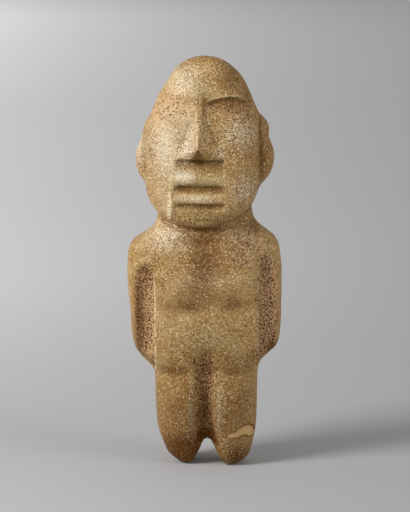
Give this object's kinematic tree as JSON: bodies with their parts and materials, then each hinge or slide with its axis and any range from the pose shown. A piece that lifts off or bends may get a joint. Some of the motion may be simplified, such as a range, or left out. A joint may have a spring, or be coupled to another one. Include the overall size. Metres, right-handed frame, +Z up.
{
  "type": "standing stone figure",
  "caption": "Carved stone figure standing on its own feet: domed head, wedge nose, stepped mouth, arms parted from the trunk by pecked troughs, legs by a groove.",
  "frame": {"origin": "middle of the figure's box at the level of its soles", "axes": "+Z up from the soles to the crown, -Y the way the figure looks, +X to the right of someone facing it"},
  "size_m": [0.1316, 0.075, 0.35],
  "materials": {
    "stone": "polished by hand where it stands proud, pecked and matt in the troughs"
  },
  "bodies": {
    "root": {"standing_figure": "stone"}
  },
  "joints": []
}
